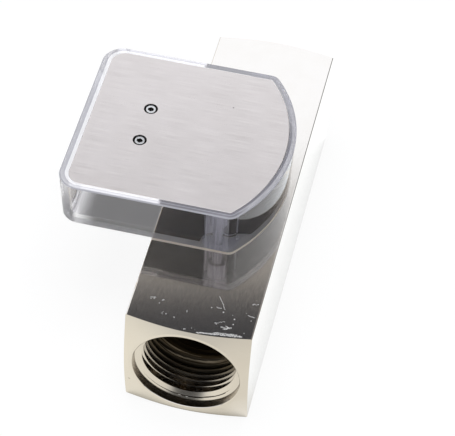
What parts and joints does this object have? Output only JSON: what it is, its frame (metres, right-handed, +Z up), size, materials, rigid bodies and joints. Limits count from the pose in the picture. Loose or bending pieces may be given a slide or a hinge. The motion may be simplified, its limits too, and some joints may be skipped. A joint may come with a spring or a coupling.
{
  "type": "variable area flow meter",
  "caption": "Variable area flow meter: square bar with threaded ports and a sprung magnetic piston, under a clear curved pointer housing with a steel cover plate.",
  "frame": {"origin": "centre of the flow block's underside", "axes": "+Y along the bar from the outlet to the inlet, +Z up through the indicator, +X to the curved wall"},
  "size_m": [0.0714, 0.132, 0.0576],
  "materials": {
    "nickel_plated_brass": "bright nickel plate, brushed lengthwise",
    "clear_acrylic": "clear moulded acrylic",
    "brushed_plate": "fine brushed stainless steel",
    "screw_steel": "turned stainless steel",
    "turned_brass": "turned, uncoated",
    "spring_steel": "drawn wire",
    "magnet": "sintered, sealed",
    "bush_plastic": "slide bearing plastic",
    "seal_rubber": "matt",
    "pointer_white": "white lacquer",
    "pointer_red": "signal red"
  },
  "bodies": {
    "meter": {"flow_block": "nickel_plated_brass", "measuring_sleeve": "turned_brass", "sleeve_seal": "seal_rubber", "inlet_spider": "turned_brass", "outlet_spider": "turned_brass", "retaining_ring": "spring_steel", "guide_rod": "screw_steel", "guide_rod_nuts": "screw_steel", "spring_seat": "screw_steel", "return_spring": "spring_steel", "indicator_housing": "clear_acrylic", "housing_screws": "screw_steel", "cover_plate": "brushed_plate", "cover_screws": "screw_steel", "upper_bridge": "turned_brass", "lower_bridge": "turned_brass", "bridge_pillars": "turned_brass", "bridge_screws": "screw_steel", "pivot_bushes": "bush_plastic"},
    "piston": {"piston": "turned_brass", "piston_magnet": "magnet", "magnet_cap": "turned_brass", "piston_bushes": "bush_plastic"},
    "pointer": {"pivot_staff": "screw_steel", "pointer_hub": "turned_brass", "pointer_arm": "pointer_white", "pointer_magnet": "magnet", "pointer_magnet_cup": "turned_brass", "pointer_flag": "pointer_red", "counterweight": "turned_brass"}
  },
  "joints": [
    {"name": "piston_slide", "type": "slide", "parent": "meter", "child": "piston", "axis": [0, -1, 0], "range_m": [0, 0.032], "stiffness_N_per_m": 110, "springref_m": -0.02, "deforming": ["return_spring"]},
    {"name": "pointer_swing", "type": "hinge", "parent": "meter", "child": "pointer", "pos_m": [-0.0302, 0, 0.05], "axis": [0, 0, -1], "range_deg": [0, 55.88]}
  ],
  "couplings": [
    {"joint": "pointer_swing", "follows": "piston_slide", "rad_per_m": 30.45}
  ]
}
